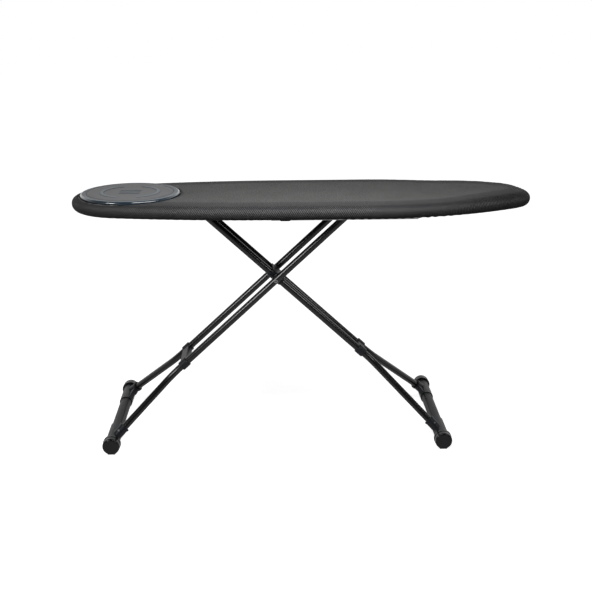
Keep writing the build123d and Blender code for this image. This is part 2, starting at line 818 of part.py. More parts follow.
# a rivet with rolled ends: each head is a ring round a blind bore
with BuildPart() as pivot_bolt:
    bolt_half = outer_spacing / 2 + tube_radius
    bolt_end = bolt_half + pivot_head_height
    add(shaft(leg_side(outer_leg, 0), pivot_bolt_radius, bolt_half))
    for side in (-1, 1):
        with BuildSketch(leg_side(outer_leg, 0, side * bolt_half)):
            Circle(pivot_head_radius)
        extrude(amount=side * pivot_head_height)
        with BuildSketch(leg_side(outer_leg, 0, side * bolt_end)):
            Circle(pivot_bore_radius)
        extrude(amount=-side * pivot_bore_depth, mode=Mode.SUBTRACT)
save(pivot_bolt.part, "pivot_bolt")


def saddle_sleeve(distance, outer, inner, start):
    """A sleeve on a cross shaft of the outer leg, from start to the tube that it fits against."""
    with BuildPart() as sleeve:
        for side in (-1, 1):
            with BuildSketch(leg_side(outer_leg, distance, side * start)):
                Circle(outer)
                Circle(inner, mode=Mode.SUBTRACT)
            extrude(amount=side * (outer_spacing / 2 - start))
            with BuildSketch(leg_section(outer_leg, distance - outer)):
                with Locations((side * outer_spacing / 2, 0)):
                    Circle(tube_radius)
            extrude(amount=2 * outer, mode=Mode.SUBTRACT)
    return sleeve.part


save(saddle_sleeve(0, pivot_spacer_radius, pivot_bolt_radius, block_half + part_gap), "pivot_spacers")

# ---- top axles -----------------------------------------------------------------------------
washer_start = inner_spacing / 2 + tube_radius
head_start = ear_y + bracket_sheet + part_gap

with BuildPart() as inner_axle:
    add(shaft(leg_side(inner_leg, -upper_arm), axle_radius, head_start))
    for side in (-1, 1):
        with BuildSketch(leg_side(inner_leg, -upper_arm, side * head_start)):
            Circle(axle_head_radius)
        extrude(amount=side * axle_head_thickness)
save(inner_axle.part, "inner_axle")

with BuildPart() as inner_washers:
    for side in (-1, 1):
        with BuildSketch(leg_side(inner_leg, -upper_arm, side * washer_start)):
            Circle(washer_radius)
            Circle(axle_radius, mode=Mode.SUBTRACT)
        extrude(amount=side * washer_thickness)
save(inner_washers.part, "inner_washers")

axle_half = rail_gap / 2 + rail_depth - rail_wall - part_gap
save(shaft(leg_side(outer_leg, -upper_arm), axle_radius, axle_half), "outer_axle")

save(
    saddle_sleeve(-upper_arm, axle_radius + axle_spacer_wall, axle_radius, clevis_width / 2 + part_gap),
    "axle_spacers",
)


# ---- slide: glides, clevis and lock rod ----------------------------------------------------
def glide(side):
    """A plastic block on the end of the outer axle, free to slide in its rail."""
    with BuildPart() as block:
        with BuildSketch(side_view(outer_axle_x, side * (rail_gap / 2 + part_gap), axle_height)):
            RectangleRounded(glide_length, rail_channel - 2 * part_gap, glide_corner_radius)
            Circle(axle_radius + running_fit, mode=Mode.SUBTRACT)
        extrude(amount=-side * (rail_depth - rail_wall - 2 * part_gap))
    return block.part


for name, side in sides.items():
    save(glide(side), f"glide_{name}")

lock_rod_end = outer_axle_x + lock_rod_overhang

with BuildPart() as rod_clevis:
    with BuildSketch(side_view(outer_axle_x, 0, axle_height)):
        Circle(axle_radius + clevis_axle_wall)
        with Locations((0, lock_rod_rise)):
            Rectangle(clevis_length, 2 * (lock_rod_radius + clevis_rod_wall))
        make_hull()
        Circle(axle_radius + running_fit, mode=Mode.SUBTRACT)
    extrude(amount=clevis_width / 2, both=True)
    with BuildSketch(Plane(origin=(lock_rod_end, 0, lock_rod_height), z_dir=(-1, 0, 0))):
        Circle(lock_rod_radius)
    extrude(amount=lock_rod_length, mode=Mode.SUBTRACT)
save(rod_clevis.part, "rod_clevis")

with BuildPart() as lock_rod:
    with BuildSketch(Plane(origin=(lock_rod_end, 0, lock_rod_height), z_dir=(-1, 0, 0))):
        Circle(lock_rod_radius)
    extrude(amount=lock_rod_length)
    with BuildSketch(Plane(origin=(lock_rod_end - lock_rod_length, 0, lock_rod_height), z_dir=(1, 0, 0))):
        Circle(lock_stop_radius)
    extrude(amount=lock_stop_length)
save(lock_rod.part, "lock_rod")

# ---- height lever --------------------------------------------------------------------------
with BuildPart() as lock_plate:
    with BuildSketch(Plane(origin=(lever_x, 0, lever_height), x_dir=(0, 1, 0), z_dir=(1, 0, 0))):
        Rectangle(lock_plate_width, lock_plate_drop, align=(Align.CENTER, Align.MAX))
        with Locations((0, lock_rod_rise - lever_rise)):
            Circle(lock_rod_radius + lock_bore_clearance, mode=Mode.SUBTRACT)
    extrude(amount=lock_plate_thickness / 2, both=True)
    add(shaft(side_view(lever_x, 0, lever_height), lever_rod_radius, lock_plate_width), mode=Mode.SUBTRACT)
save(lock_plate.part, "lock_plate")

grip_height = lever_height - lever_grip_drop
grip_rod_y = lever_grip_y + lever_grip_length / 2

with BuildPart() as lever_rod:
    with BuildLine() as lever_path:
        FilletPolyline(
            (lever_x, lever_bracket_width / 2 + lever_ear_overlap, lever_height),
            (lever_x, lever_elbow_y, lever_height),
            (lever_x + lever_bend_radius, grip_rod_y, grip_height),
            (lever_grip_x + lever_grip_width / 4, grip_rod_y, grip_height),
            radius=lever_bend_radius,
        )
    with BuildSketch(Plane(origin=lever_path.line @ 0, z_dir=lever_path.line % 0)):
        Circle(lever_rod_radius)
    sweep()
save(lever_rod.part, "lever_rod")

with BuildPart() as lever_grip:
    with BuildSketch(Plane((lever_grip_x, grip_rod_y, grip_height))):
        RectangleRounded(lever_grip_width, lever_grip_length, lever_grip_corner_radius)
    extrude(amount=lever_grip_height / 2, both=True)
    fillet(lever_grip.edges().filter_by(Plane.XY), lever_grip_edge_radius)
    add(lever_rod.part, mode=Mode.SUBTRACT)
save(lever_grip.part, "lever_grip")
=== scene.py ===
from math import atan2, cos, hypot, pi, radians, sin

import bmesh
import bpy
from mathutils import Matrix, Vector, noise


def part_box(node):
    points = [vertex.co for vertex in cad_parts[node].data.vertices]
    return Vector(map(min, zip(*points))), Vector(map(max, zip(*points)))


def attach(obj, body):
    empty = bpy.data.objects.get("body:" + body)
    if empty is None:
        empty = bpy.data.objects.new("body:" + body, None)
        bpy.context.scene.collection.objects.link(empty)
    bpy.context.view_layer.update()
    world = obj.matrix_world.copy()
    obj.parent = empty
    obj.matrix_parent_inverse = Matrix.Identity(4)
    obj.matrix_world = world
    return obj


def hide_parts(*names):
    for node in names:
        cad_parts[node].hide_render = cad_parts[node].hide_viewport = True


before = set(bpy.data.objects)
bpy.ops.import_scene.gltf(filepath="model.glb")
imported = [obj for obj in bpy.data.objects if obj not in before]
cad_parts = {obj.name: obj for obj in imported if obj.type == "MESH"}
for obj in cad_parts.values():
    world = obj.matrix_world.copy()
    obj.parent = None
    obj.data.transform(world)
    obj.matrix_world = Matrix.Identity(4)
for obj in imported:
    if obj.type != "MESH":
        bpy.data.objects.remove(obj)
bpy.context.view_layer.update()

# ---- camera --------------------------------------------------------------------------------
# The camera stands in front of the board at nearly twice its height and looks down on it.
camera_place = (-0.08799, -2.56555, 1.19715)
view_pitch, view_yaw, view_roll = 0.30902, 0.02713, -0.00522
camera_data = bpy.data.cameras.new("camera")
camera_data.sensor_width = 36.0
camera_data.lens = 58.467
camera = bpy.data.objects.new("camera", camera_data)
camera.matrix_world = (
    Matrix.Translation(camera_place)
    @ Matrix.Rotation(-view_yaw, 4, "Z")
    @ Matrix.Rotation(pi / 2 - view_pitch, 4, "X")
    @ Matrix.Rotation(view_roll, 4, "Z")
)
bpy.context.scene.collection.objects.link(camera)
bpy.context.scene.camera = camera
bpy.context.scene.view_settings.view_transform = "Standard"


# ---- floor ---------------------------------------------------------------------------------
# A plain pale floor that keeps the faint shadow of the feet. It glows outwards, so that it meets
# the white surround without a line, and it is clear when it is seen from below.
def object_from(form, name):
    """Turns a finished form into an object of the scene."""
    mesh = bpy.data.meshes.new(name)
    form.to_mesh(mesh)
    form.free()
    made = bpy.data.objects.new(name, mesh)
    bpy.context.scene.collection.objects.link(made)
    return made


def material(name):
    """A new material with its node tree and its main shader."""
    made = bpy.data.materials.new(name)
    made.use_nodes = True
    return made, made.node_tree, made.node_tree.nodes["Principled BSDF"]


def fill(tree, node, inputs):
    """Gives the named sockets of a node a plain value each, or a link from another node."""
    for socket, source in inputs.items():
        if isinstance(source, bpy.types.NodeSocket):
            tree.links.new(source, node.inputs[socket])
        else:
            node.inputs[socket].default_value = source


def add_node(tree, kind, inputs=None, **settings):
    """A new node of one kind, with its settings made before its sockets are filled."""
    made = tree.nodes.new("ShaderNode" + kind)
    for setting, choice in settings.items():
        setattr(made, setting, choice)
    fill(tree, made, inputs or {})
    return made


def reckon(tree, operation, *values):
    """The result of one step of arithmetic on plain values or links."""
    return add_node(tree, "Math", dict(enumerate(values)), operation=operation).outputs[0]


def rescaled(tree, value, low, high, low_result, high_result):
    """A value taken from one range to another and held at both ends."""
    ends = {"From Min": low, "From Max": high, "To Min": low_result, "To Max": high_result}
    return add_node(tree, "MapRange", {"Value": value, **ends}).outputs["Result"]


def shown_to_view(tree, mirrored=1.0):
    """One for the rays that show the background: seen directly, through glass or in a reflection."""
    path = add_node(tree, "LightPath").outputs
    in_mirrors = reckon(tree, "MULTIPLY", path["Is Glossy Ray"], mirrored)
    direct = reckon(tree, "MAXIMUM", path["Is Camera Ray"], in_mirrors)
    return reckon(tree, "MAXIMUM", direct, path["Is Transmission Ray"])


form = bmesh.new()
bmesh.ops.create_grid(form, x_segments=1, y_segments=1, size=12.0)
floor = object_from(form, "floor")

floor_paint, tree, shader = material("floor_paint")
fill(tree, shader, {"Base Color": (0.80, 0.80, 0.80, 1), "Roughness": 0.95, "Specular IOR Level": 0.0})
local = add_node(tree, "TexCoord").outputs["Object"]
from_middle = add_node(tree, "VectorMath", {0: local}, operation="LENGTH").outputs["Value"]
glow_level = rescaled(tree, from_middle, 0.2, 0.7, 0.70, 0.97)
glow = add_node(tree, "Emission", {"Color": (1, 1, 1, 1), "Strength": glow_level})
lit = add_node(tree, "AddShader", {0: shader.outputs[0], 1: glow.outputs[0]})
# the light that the floor throws back at the board is that of a dim studio
dim = add_node(tree, "BsdfDiffuse", {"Color": (0.20, 0.20, 0.21, 1)})
from_above = add_node(
    tree, "MixShader", {"Fac": shown_to_view(tree, 0.38), 1: dim.outputs[0], 2: lit.outputs[0]}
)
clear = add_node(tree, "BsdfTransparent")
below = add_node(tree, "NewGeometry").outputs["Backfacing"]
sided = add_node(tree, "MixShader", {"Fac": below, 1: from_above.outputs[0], 2: clear.outputs[0]})
fill(tree, tree.nodes["Material Output"], {"Surface": sided.outputs[0]})
floor.data.materials.append(floor_paint)

# ---- surround and lamps --------------------------------------------------------------------
# A white surround that reflects as a dim room from the front and above, a lamp over the board's
# front and two side boxes, whose reflections draw thin bright lines along the tubes and the caps.
world = bpy.data.worlds.new("studio")
bpy.context.scene.world = world
world.use_nodes = True
tree = world.node_tree
heading = add_node(tree, "SeparateXYZ", {0: add_node(tree, "TexCoord").outputs["Generated"]}).outputs
behind = rescaled(tree, heading["Y"], -0.15, 0.35, 0.10, 1.0)
ceiling = rescaled(tree, heading["Z"], 0.35, 0.70, 1.0, 0.12)
reflected = reckon(tree, "MULTIPLY", behind, ceiling)
seen = add_node(tree, "LightPath").outputs["Is Camera Ray"]
bright = reckon(tree, "MAXIMUM", seen, reflected)
# what the surround gives the board as light: little from the front and above, more from behind
soft = reckon(tree, "MULTIPLY_ADD", reflected, 0.45, 0.03)
strength = rescaled(tree, shown_to_view(tree), 0.0, 1.0, soft, bright)
fill(tree, tree.nodes["Background"], {"Color": (1, 1, 1, 1), "Strength": strength})


def lamp(name, place, target, size, watts):
    """A rectangular area lamp that faces its target."""
    light = bpy.data.lights.new(name, "AREA")
    light.shape = "RECTANGLE"
    light.size, light.size_y = size
    light.energy = watts
    holder = bpy.data.objects.new(name, light)
    holder.location = place
    holder.rotation_euler = (Vector(target) - Vector(place)).to_track_quat("-Z", "Y").to_euler()
    bpy.context.scene.collection.objects.link(holder)


lamp("over_front", (0.0, -0.45, 1.05), (0.0, -0.10, 0.67), (0.75, 0.18), 5.0)
lamp("left_box", (-1.8, -1.65, 1.55), (-0.1, 0, 0.5), (0.72, 0.72), 25)
lamp("right_box", (1.7, -1.2, 1.68), (-0.1, 0, 0.5), (0.60, 0.60), 9)


# ---- board frame ---------------------------------------------------------------------------
# A steel tube bent round the board's edge carries a thin sheet with steam holes and folded cross
# members, welded to it. Pressed brackets are screwed underneath, and all is grey powder coated.
def noise_of(tree, vector, scale, detail=2.0, roughness=0.5):
    """Even, cloudy noise with a value at each place."""
    inputs = {"Vector": vector, "Scale": scale, "Detail": detail, "Roughness": roughness}
    return add_node(tree, "TexNoise", inputs).outputs["Fac"]


def blend(tree, factor, one, two, way="MIX"):
    """Two colours mixed, or combined in another way, by a factor."""
    inputs = {"Factor": factor, "A": one, "B": two}
    return add_node(tree, "Mix", inputs, data_type="RGBA", blend_type=way).outputs["Result"]


def bumped(tree, height, strength, distance):
    """The surface's slope where a height raises it by up to a distance."""
    inputs = {"Height": height, "Strength": strength, "Distance": distance}
    return add_node(tree, "Bump", inputs).outputs["Normal"]


def coat(name, colour, roughness, level, scale, relief, mottle=0.25):
    """A painted or moulded surface: a fine skin, slight changes of shade and worn-looking gloss."""
    made, tree, shader = material(name)
    local = add_node(tree, "TexCoord").outputs["Object"]
    fine = noise_of(tree, local, scale)
    broad = noise_of(tree, local, 22.0, detail=3.0)
    darker = (*[c * (1 - mottle) for c in colour], 1)
    lighter = (*[c * (1 + mottle) for c in colour], 1)
    inputs = {
        "Base Color": blend(tree, broad, darker, lighter),
        "Roughness": rescaled(tree, broad, 0.0, 1.0, roughness - 0.05, roughness + 0.05),
        "Specular IOR Level": level,
        "Normal": bumped(tree, fine, 0.3, relief),
    }
    fill(tree, shader, inputs)
    return made


def finish_with(paint, *names):
    """Gives the named solids their finish."""
    for name in names:
        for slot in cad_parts[name].material_slots:
            slot.material = paint


grey_coat = coat("grey_powder_coat", (0.085, 0.088, 0.090), 0.48, 0.4, 1200, 0.00012)
finish_with(
    grey_coat,
    "top_sheet",
    "rim_tube",
    "tail_member",
    "bracket_member",
    "lever_member",
    "rail_member",
    "nose_member",
    "pivot_bracket_front",
    "pivot_bracket_back",
    "lever_bracket",
)


# ---- slide rails ---------------------------------------------------------------------------
# Two rails of extruded aluminium, left bare and screwed under the cross members. Fine scratches
# run along them, from the die and from the glides.
def bare_metal(name, colour, roughness, scratch):
    """Plated or extruded metal with fine scratches, as close along each axis as scratch says."""
    made, tree, shader = material(name)
    local = add_node(tree, "TexCoord").outputs["Object"]
    stretched = add_node(tree, "Mapping", {"Vector": local, "Scale": scratch}).outputs["Vector"]
    lines = noise_of(tree, stretched, 1.0, detail=4.0)
    dulled = (*[c * 0.82 for c in colour], 1)
    inputs = {
        "Base Color": blend(tree, lines, dulled, (*colour, 1)),
        "Metallic": 1.0,
        "Roughness": rescaled(tree, lines, 0.0, 1.0, roughness - 0.08, roughness + 0.08),
    }
    fill(tree, shader, inputs)
    return made


rail_metal = bare_metal("rail_aluminium", (0.60, 0.61, 0.63), 0.36, (12, 900, 900))
finish_with(rail_metal, "rail_front", "rail_back")

# ---- axles, lock and screws ----------------------------------------------------------------
# Steel axles and lock rod, the punched lock plate with its coiled spring, and the screws that
# hold rails and brackets under the cross members. All are plated with bright zinc.
even_grain = (500, 500, 500)
zinc = bare_metal("bright_zinc", (0.56, 0.56, 0.55), 0.30, even_grain)
finish_with(zinc, "inner_axle", "outer_axle", "lock_rod", "lock_plate", "lock_spring", "member_screws")

# ---- washers and glides --------------------------------------------------------------------
# Moulded in natural white nylon. The washers keep the inner leg's tubes off the bracket ears,
# and the glides on the ends of the outer axle run in the rails.
nylon = coat("nylon", (0.62, 0.62, 0.59), 0.5, 0.5, 900, 0.0001, mottle=0.05)
finish_with(nylon, "inner_washers", "glide_front", "glide_back")

# ---- leg tubes and lever rod ---------------------------------------------------------------
# Round steel tubes, two for each leg, bent apart towards the foot, and the thin bent rod of the
# height lever. All have a semi-gloss black powder coat.
black_coat = coat("black_powder_coat", (0.004, 0.004, 0.004), 0.22, 0.5, 1400, 0.00001)
finish_with(
    black_coat,
    "inner_tube_front",
    "inner_tube_back",
    "outer_tube_front",
    "outer_tube_back",
    "lever_rod",
)

# ---- plastic fittings ----------------------------------------------------------------------
# Collars, pivot block, spacers, foot connectors, clevis and lever grip, moulded in black plastic
# with a fine grain. They sit on the tubes and axles, and each connector is screwed to its tube.
fitting = coat("fitting_plastic", (0.008, 0.009, 0.0125), 0.42, 0.3, 1700, 0.0001)
finish_with(
    fitting,
    "inner_collar",
    "outer_collar",
    "pivot_block",
    "pivot_spacers",
    "axle_spacers",
    "rod_clevis",
    "lever_grip",
    "inner_connector_front",
    "inner_connector_back",
    "outer_connector_front",
    "outer_connector_back",
)

# ---- pivot rivet ---------------------------------------------------------------------------
# One steel bolt through the pivot block and the outer leg's tubes, rolled over at both ends like
# a rivet. Its finish is dull.
rivet = bare_metal("dull_rivet", (0.34, 0.34, 0.33), 0.50, even_grain)
finish_with(rivet, "pivot_bolt")

# ---- foot bars -----------------------------------------------------------------------------
# Each leg stands on a steel tube across its two ends, coated in satin dark grey. The bottom of
# the lengthwise groove is coloured black as painted shade.
groove_edge = 0.0003
for bar_name in ("inner_foot_bar", "outer_foot_bar"):
    bar_low, bar_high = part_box(bar_name)
    bar_coat = coat(bar_name + "_paint", (0.021, 0.022, 0.0215), 0.50, 0.3, 1100, 0.00015)
    tree = bar_coat.node_tree
    shader = tree.nodes["Principled BSDF"]
    local = add_node(tree, "TexCoord").outputs["Object"]
    offset = add_node(
        tree, "VectorMath", {0: local, 1: (bar_low + bar_high) / 2}, operation="SUBTRACT"
    ).outputs["Vector"]
    outward = add_node(tree, "VectorMath", {0: offset, 1: (1, 0, 1)}, operation="MULTIPLY").outputs["Vector"]
    from_axis = add_node(tree, "VectorMath", {0: outward}, operation="LENGTH").outputs["Value"]
    # painted shade: the surface sunk below the bar's outer round, in the groove, is coloured black
    groove_painted_shade = reckon(tree, "LESS_THAN", from_axis, (bar_high.z - bar_low.z) / 2 - groove_edge)
    painted = shader.inputs["Base Color"].links[0].from_socket
    fill(tree, shader, {"Base Color": blend(tree, groove_painted_shade, painted, (0.001, 0.001, 0.001, 1))})
    finish_with(bar_coat, bar_name)

# ---- foot screws ---------------------------------------------------------------------------
# Pan head screws of blackened steel. Each goes through the wall of a connector's socket into the
# end of the leg tube.
dark_screw = bare_metal("blackened_screws", (0.09, 0.09, 0.095), 0.40, even_grain)
finish_with(dark_screw, "inner_foot_screws", "outer_foot_screws")

# ---- end caps ------------------------------------------------------------------------------
# Moulded black plastic caps, glossier than the other fittings, on the ends of the foot bars. Each
# stands on a small flat.
cap_plastic = coat("cap_plastic", (0.005, 0.0052, 0.007), 0.24, 0.32, 1700, 0.00002)
finish_with(cap_plastic, "inner_cap_front", "inner_cap_back", "outer_cap_front", "outer_cap_back")

# ---- felt underlay -------------------------------------------------------------------------
# Thick needled felt, cut to the board's outline and laid on the steel sheet, under the cover. It
# is seen only through the steam holes, from below.
felt = coat("felt", (0.36, 0.35, 0.33), 0.92, 0.1, 600, 0.0006, mottle=0.12)
finish_with(felt, "underlay_felt")

# ---- cover ---------------------------------------------------------------------------------
# One piece of heavy charcoal twill, stretched over the foam and folded under the rim. It is
# made as a stuffed slab that swells a little, then opened below as far as its hem.
half_length, half_width, cover_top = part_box("cover")[1]
side_height = 0.036
cover_base = cover_top - side_height
cloth = 0.0020
hem_width = 0.036
nose_radius, nose_shoulder = 0.090, 0.170
tail_radius, tail_shoulder = 0.150, -0.060
nose_center = half_length - nose_radius
tail_center = tail_radius - half_length


def flank(reach, end_radius):
    """Radius of the long arc beside a straight side, and the angle where it meets the end arc."""
    radius = (reach**2 + half_width**2 - end_radius**2) / (2 * (half_width - end_radius))
    return radius, atan2(radius - half_width, reach)


nose_flank, nose_angle = flank(nose_center - nose_shoulder, nose_radius)
tail_flank, tail_angle = flank(tail_shoulder - tail_center, tail_radius)
nose_slope = (nose_flank - half_width) / (nose_center - nose_shoulder)
tail_slope = (tail_flank - half_width) / (tail_shoulder - tail_center)


def edge_depth(x, y):
    """How far a place lies inside the board's edge, and the outward direction there."""
    side = 1 if y >= 0 else -1
    if x > nose_center and abs(y) < (x - nose_center) * nose_slope:
        center, radius = (nose_center, 0.0), nose_radius
    elif x < tail_center and abs(y) < (tail_center - x) * tail_slope:
        center, radius = (tail_center, 0.0), tail_radius
    elif x > nose_shoulder:
        center, radius = (nose_shoulder, side * (half_width - nose_flank)), nose_flank
    elif x < tail_shoulder:
        center, radius = (tail_shoulder, side * (half_width - tail_flank)), tail_flank
    else:
        return half_width - abs(y), Vector((0, side, 0))
    arm = Vector((x - center[0], y - center[1], 0))
    return radius - arm.length, arm.normalized()


def edge_loop(form, inset, height, step=0.012):
    """A closed loop along the board's edge: a vertex spun round each arc in turn, then mirrored."""
    start = form.verts.new((half_length - inset, 0, height))
    last = start
    arcs = (
        ((nose_center, 0, height), nose_angle, nose_radius),
        ((nose_shoulder, half_width - nose_flank, height), pi / 2 - nose_angle, nose_flank),
        None,
        ((tail_shoulder, half_width - tail_flank, height), pi / 2 - tail_angle, tail_flank),
        ((tail_center, 0, height), tail_angle, tail_radius),
    )
    for arc in arcs:
        if arc:
            center, angle, radius = arc
            steps = max(2, round(radius * angle / step))
            spun = bmesh.ops.spin(
                form, geom=[last], cent=center, axis=(0, 0, 1), angle=angle, steps=steps, use_duplicate=False
            )
            last = [v for v in spun["geom_last"] if isinstance(v, bmesh.types.BMVert)][0]
        else:
            steps = round((nose_shoulder - tail_shoulder) / step)
            for _ in range(steps):
                last = bmesh.ops.extrude_vert_indiv(form, verts=[last])["verts"][0]
                last.co.x -= (nose_shoulder - tail_shoulder) / steps
    half = [start]
    for here in half:
        half += [v for v in (edge.other_vert(here) for edge in here.link_edges) if v not in half]
    half_edges = list(dict.fromkeys(edge for v in half for edge in v.link_edges))
    copied = bmesh.ops.duplicate(form, geom=half + half_edges)["geom"]
    twins = [v for v in copied if isinstance(v, bmesh.types.BMVert)]
    bmesh.ops.scale(form, vec=(1, -1, 1), verts=twins)
    bmesh.ops.remove_doubles(form, verts=half + twins, dist=1e-5)
    ring = [v for v in half + twins if v.is_valid]
    return list(dict.fromkeys(edge for v in ring for edge in v.link_edges))


# The edge in section, as inset and drop from the top: folded under, up round the rim tube, then
# over a tighter corner onto the foam, which sinks a little towards the edge.
edge_section = (
    (0.0400, 0.0360), (0.0260, 0.0360), (0.0175, 0.0360), (0.0125, 0.0353), (0.0080, 0.0334),
    (0.0045, 0.0306), (0.0020, 0.0270), (0.0005, 0.0230), (0.0000, 0.0185), (0.0002, 0.0150),
    (0.0010, 0.0114), (0.0026, 0.0081), (0.0050, 0.0052), (0.0080, 0.0030), (0.0115, 0.0016),
    (0.0160, 0.0009), (0.0240, 0.0005), (0.0360, 0.0002), (0.0500, 0.0000), (0.0650, 0.0000),
)
form = bmesh.new()
loops = [edge_loop(form, inset, cover_top - drop) for inset, drop in edge_section]
for lower, upper in zip(loops, loops[1:]):
    bmesh.ops.bridge_loops(form, edges=lower + upper)
for rim in (loops[0], loops[-1]):
    bmesh.ops.contextual_create(form, geom=rim)
bmesh.ops.recalc_face_normals(form, faces=form.faces)
cover = object_from(form, "board_cover")
even = cover.modifiers.new("even_mesh", "REMESH")
even.mode = "VOXEL"
even.voxel_size = 0.0045
bpy.context.view_layer.objects.active = cover
bpy.ops.object.modifier_apply(modifier=even.name)


def held(share):
    """A share kept between nought and one."""
    return min(1, max(0, share))


def eased(share):
    """Nought to one with a soft start and end."""
    share = held(share)
    return share * share * (3 - 2 * share)


# the foam presses the cloth up and out by no more than the swell, and nowhere inwards
swell = 0.0016
flat = [(v.co.copy(), v.normal.copy()) for v in cover.data.vertices]
stuffing = cover.modifiers.new("stuffing", "CLOTH")
stuffing.settings.quality = 4
stuffing.settings.tension_stiffness = 25
stuffing.settings.compression_stiffness = 25
stuffing.settings.bending_stiffness = 3
stuffing.settings.use_pressure = True
stuffing.settings.uniform_pressure_force = 4
stuffing.settings.effector_weights.gravity = 0
scene = bpy.context.scene
settling_steps = 14
for step in range(1, settling_steps + 1):
    scene.frame_set(step)
swollen = cover.evaluated_get(bpy.context.evaluated_depsgraph_get()).to_mesh()
stuffed = [v.co.copy() for v in swollen.vertices]
cover.modifiers.remove(stuffing)
scene.frame_set(1)
for vertex, (before, outwards), after in zip(cover.data.vertices, flat, stuffed):
    room = swell * held(1 + 2 * outwards.z)
    vertex.co = before + outwards * min(room, max(0, (after - before).dot(outwards)))

# the opening below: faces inside the hem are cut away and the cut edge is drawn onto the hem line
form = bmesh.new()
form.from_mesh(cover.data)
fold_room = 0.006
inside = []
for face in form.faces:
    middle = face.calc_center_median()
    if middle.z < cover_base + fold_room and edge_depth(*middle.xy)[0] > hem_width:
        inside.append(face)
bmesh.ops.delete(form, geom=inside, context="FACES")
for vertex in form.verts:
    depth, outward = edge_depth(vertex.co.x, vertex.co.y)
    if vertex.is_boundary:
        vertex.co += outward * (depth - hem_width)
        vertex.co.z = cover_base + cloth / 2


def gathers(x, y, outward):
    """Height of the small waves that the drawcord pulls into the hem, strongest beside the nose."""
    long_wave, short_wave = 0.0215, 0.0143
    short_share, short_lead = 0.35, 1.7
    start, start_run = 0.06, 0.06
    end, end_run = 0.42, 0.10
    patches = 14
    # round the two ends the waves are counted across the board instead of along it
    along = x if abs(outward.x) < 0.5 else y * 1.3
    wave = sin(2 * pi * along / long_wave) + short_share * sin(2 * pi * along / short_wave + short_lead)
    loose = 0.2 + 0.9 * held((x - start) / start_run) * held((end - x) / end_run)
    uneven = 0.75 + 0.5 * noise.noise(Vector((x * patches, y * patches, 0)))
    return wave * loose * uneven


def foam_dome(place, depth):
    """How much fuller the foam stands in the nose, where the cover is cut round and gathered least."""
    rise = 0.0062
    start, start_run = 0.34, 0.18
    tip, tip_run = half_length + 0.005, 0.07
    low, low_run = cover_base + 0.012, 0.018
    rim, rim_run = 0.0005, 0.0115
    along = eased((place.x - start) / start_run) * eased((tip - place.x) / tip_run)
    above = held((place.z - low) / low_run)
    return rise * along * above * eased((depth - rim) / rim_run)


def hem_pucker(place, depth, outward):
    """How far the gathers lift or lower the cloth that turns under the rim."""
    lift = 0.0013
    high, high_run = cover_base + 0.014, 0.010
    rim, rim_run = 0.001, 0.012
    under = held((high - place.z) / high_run) * held((depth - rim) / rim_run)
    return lift * under * gathers(place.x, place.y, outward)


# where the iron rest lies the cover and the foam are pressed down into a shallow seat
pad_low, pad_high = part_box("iron_rest_pad")
pad_middle = (pad_low.x + pad_high.x) / 2
pad_radius = (pad_high.x - pad_low.x) / 2
pad_room = 0.0003
seat_depth = cover_top - pad_low.z + pad_room
seat_gap, seat_run = 0.0012, 0.0055
top_layer = cover_top - 0.008


def beyond_pad(place):
    """How far outside the iron rest's edge a place lies."""
    return hypot(place.x - pad_middle, place.y) - pad_radius


for vertex in form.verts:
    place = vertex.co
    depth, outward = edge_depth(place.x, place.y)
    place.z += foam_dome(place, depth)
    place.z += hem_pucker(place, depth, outward)
    if place.z > top_layer:
        outside = eased((beyond_pad(place) - seat_gap) / seat_run)
        place.z -= (1 - outside) * max(0, place.z - cover_top + seat_depth)


def run_down(depth, drop):
    """How much cloth lies between the flat top and a place on the edge's section."""
    nearest, run, gone = 1.0, 0.0, 0.0
    for (inset_b, drop_b), (inset_a, drop_a) in zip(edge_section[::-1], edge_section[-2::-1]):
        across, down = inset_a - inset_b, drop_a - drop_b
        length = hypot(across, down)
        share = held(((depth - inset_b) * across + (drop - drop_b) * down) / length**2)
        off = hypot(depth - inset_b - share * across, drop - drop_b - share * down)
        if off < nearest:
            nearest, run = off, gone + share * length
        gone += length
    return run


# the weave is laid out as the cloth was cut, flat on top and running on over the edge
weave = form.loops.layers.uv.new("cut_cloth")
over_edge = form.verts.layers.float.new("over_edge")
seat_painted_shadow = form.verts.layers.float.new("seat_painted_shadow")
flat_edge = edge_section[-1][0]
shade_gap, shade_run = 0.002, 0.006
for vertex in form.verts:
    place = vertex.co
    depth, outward = edge_depth(place.x, place.y)
    # painted shadow on the cloth right round the iron rest's edge, fading outwards
    if place.z > top_layer:
        vertex[seat_painted_shadow] = held(1 - (beyond_pad(place) - shade_gap) / shade_run)
    cut = place.xy
    if depth < flat_edge:
        run = run_down(depth, cover_top - place.z)
        vertex[over_edge] = run
        cut = cut + outward.xy * (depth - flat_edge + run)
    for corner in vertex.link_loops:
        corner[weave].uv = cut
form.to_mesh(cover.data)
form.free()


def smooth(mesh):
    """Shades a mesh as one rounded surface."""
    for face in mesh.polygons:
        face.use_smooth = True


smooth(cover.data)
lining = cover.modifiers.new("cloth_thickness", "SOLIDIFY")
lining.thickness = cloth
lining.offset = -1.0
bpy.ops.object.modifier_apply(modifier=lining.name)


def shade_ramp(tree, factor, stops):
    """A ramp of colours, one at each stop, whose outputs are its colour and its alpha."""
    ramp = add_node(tree, "ValToRGB", {"Fac": factor})
    elements = ramp.color_ramp.elements
    for element, (place, colour) in zip(elements, (stops[0], stops[-1])):
        element.position = place
        element.color = colour
    for place, colour in stops[1:-1]:
        elements.new(place).color = colour
    return ramp.outputs


